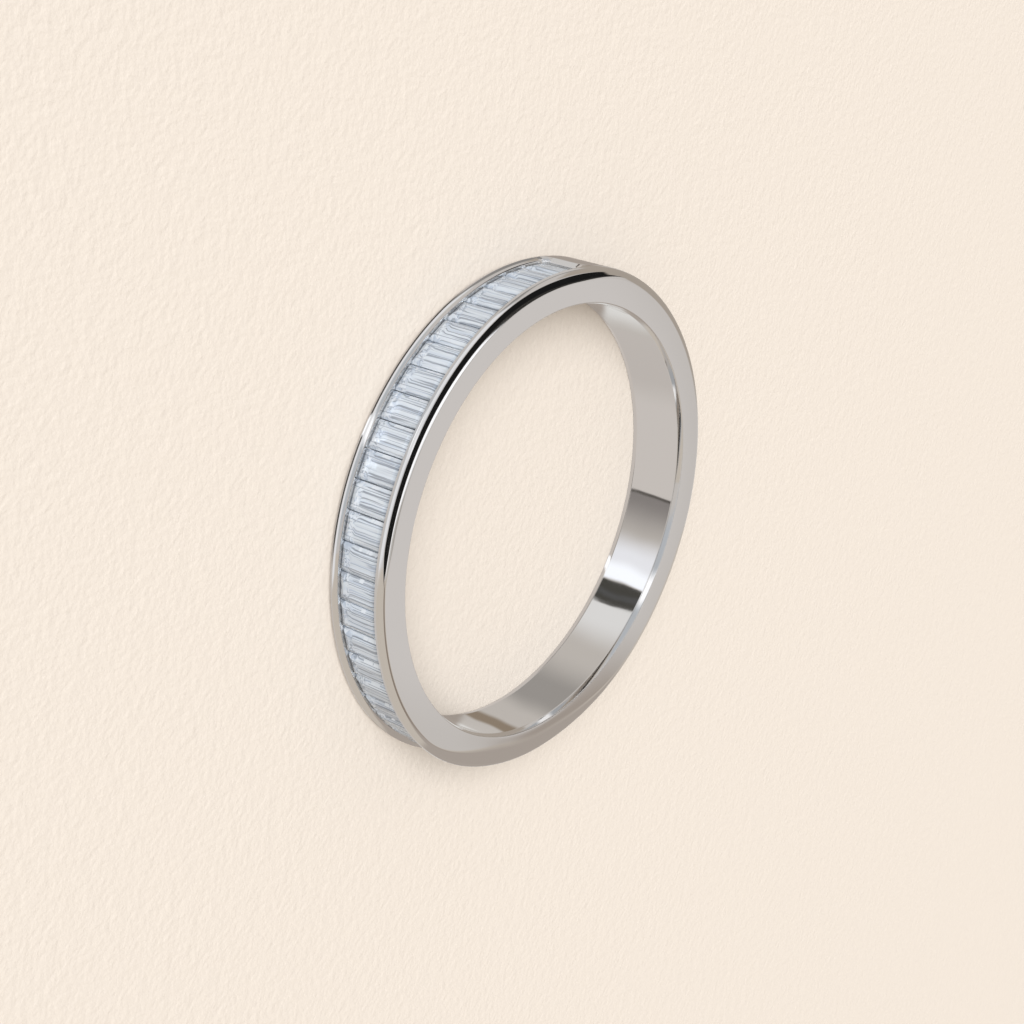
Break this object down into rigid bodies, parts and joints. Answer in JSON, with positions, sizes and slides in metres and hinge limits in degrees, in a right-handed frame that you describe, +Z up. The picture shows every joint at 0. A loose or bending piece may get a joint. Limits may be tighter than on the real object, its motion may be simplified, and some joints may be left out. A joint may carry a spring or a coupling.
{
  "type": "channel set band ring",
  "caption": "Polished white metal band ring with a half round of step cut baguette stones set side by side in a channel between two rails.",
  "frame": {"origin": "centre of the bore, in the plane of the side face that the ring rests on", "axes": "+Z up along the axis of the bore, -Y from the axis through the middle of the stone row, +X to the right of it"},
  "size_m": [0.0198, 0.0198, 0.0025],
  "materials": {
    "white_metal": "mirror polished white gold",
    "stone": "clear, colourless, polished facets"
  },
  "bodies": {
    "root": {"band": "white_metal", "stone_01": "stone", "stone_02": "stone", "stone_03": "stone", "stone_04": "stone", "stone_05": "stone", "stone_06": "stone", "stone_07": "stone", "stone_08": "stone", "stone_09": "stone", "stone_10": "stone", "stone_11": "stone", "stone_12": "stone", "stone_13": "stone", "stone_14": "stone", "stone_15": "stone", "stone_16": "stone", "stone_17": "stone", "stone_18": "stone", "stone_19": "stone", "stone_20": "stone", "stone_21": "stone", "stone_22": "stone", "stone_23": "stone", "stone_24": "stone", "stone_25": "stone", "stone_26": "stone", "stone_27": "stone"}
  },
  "joints": []
}
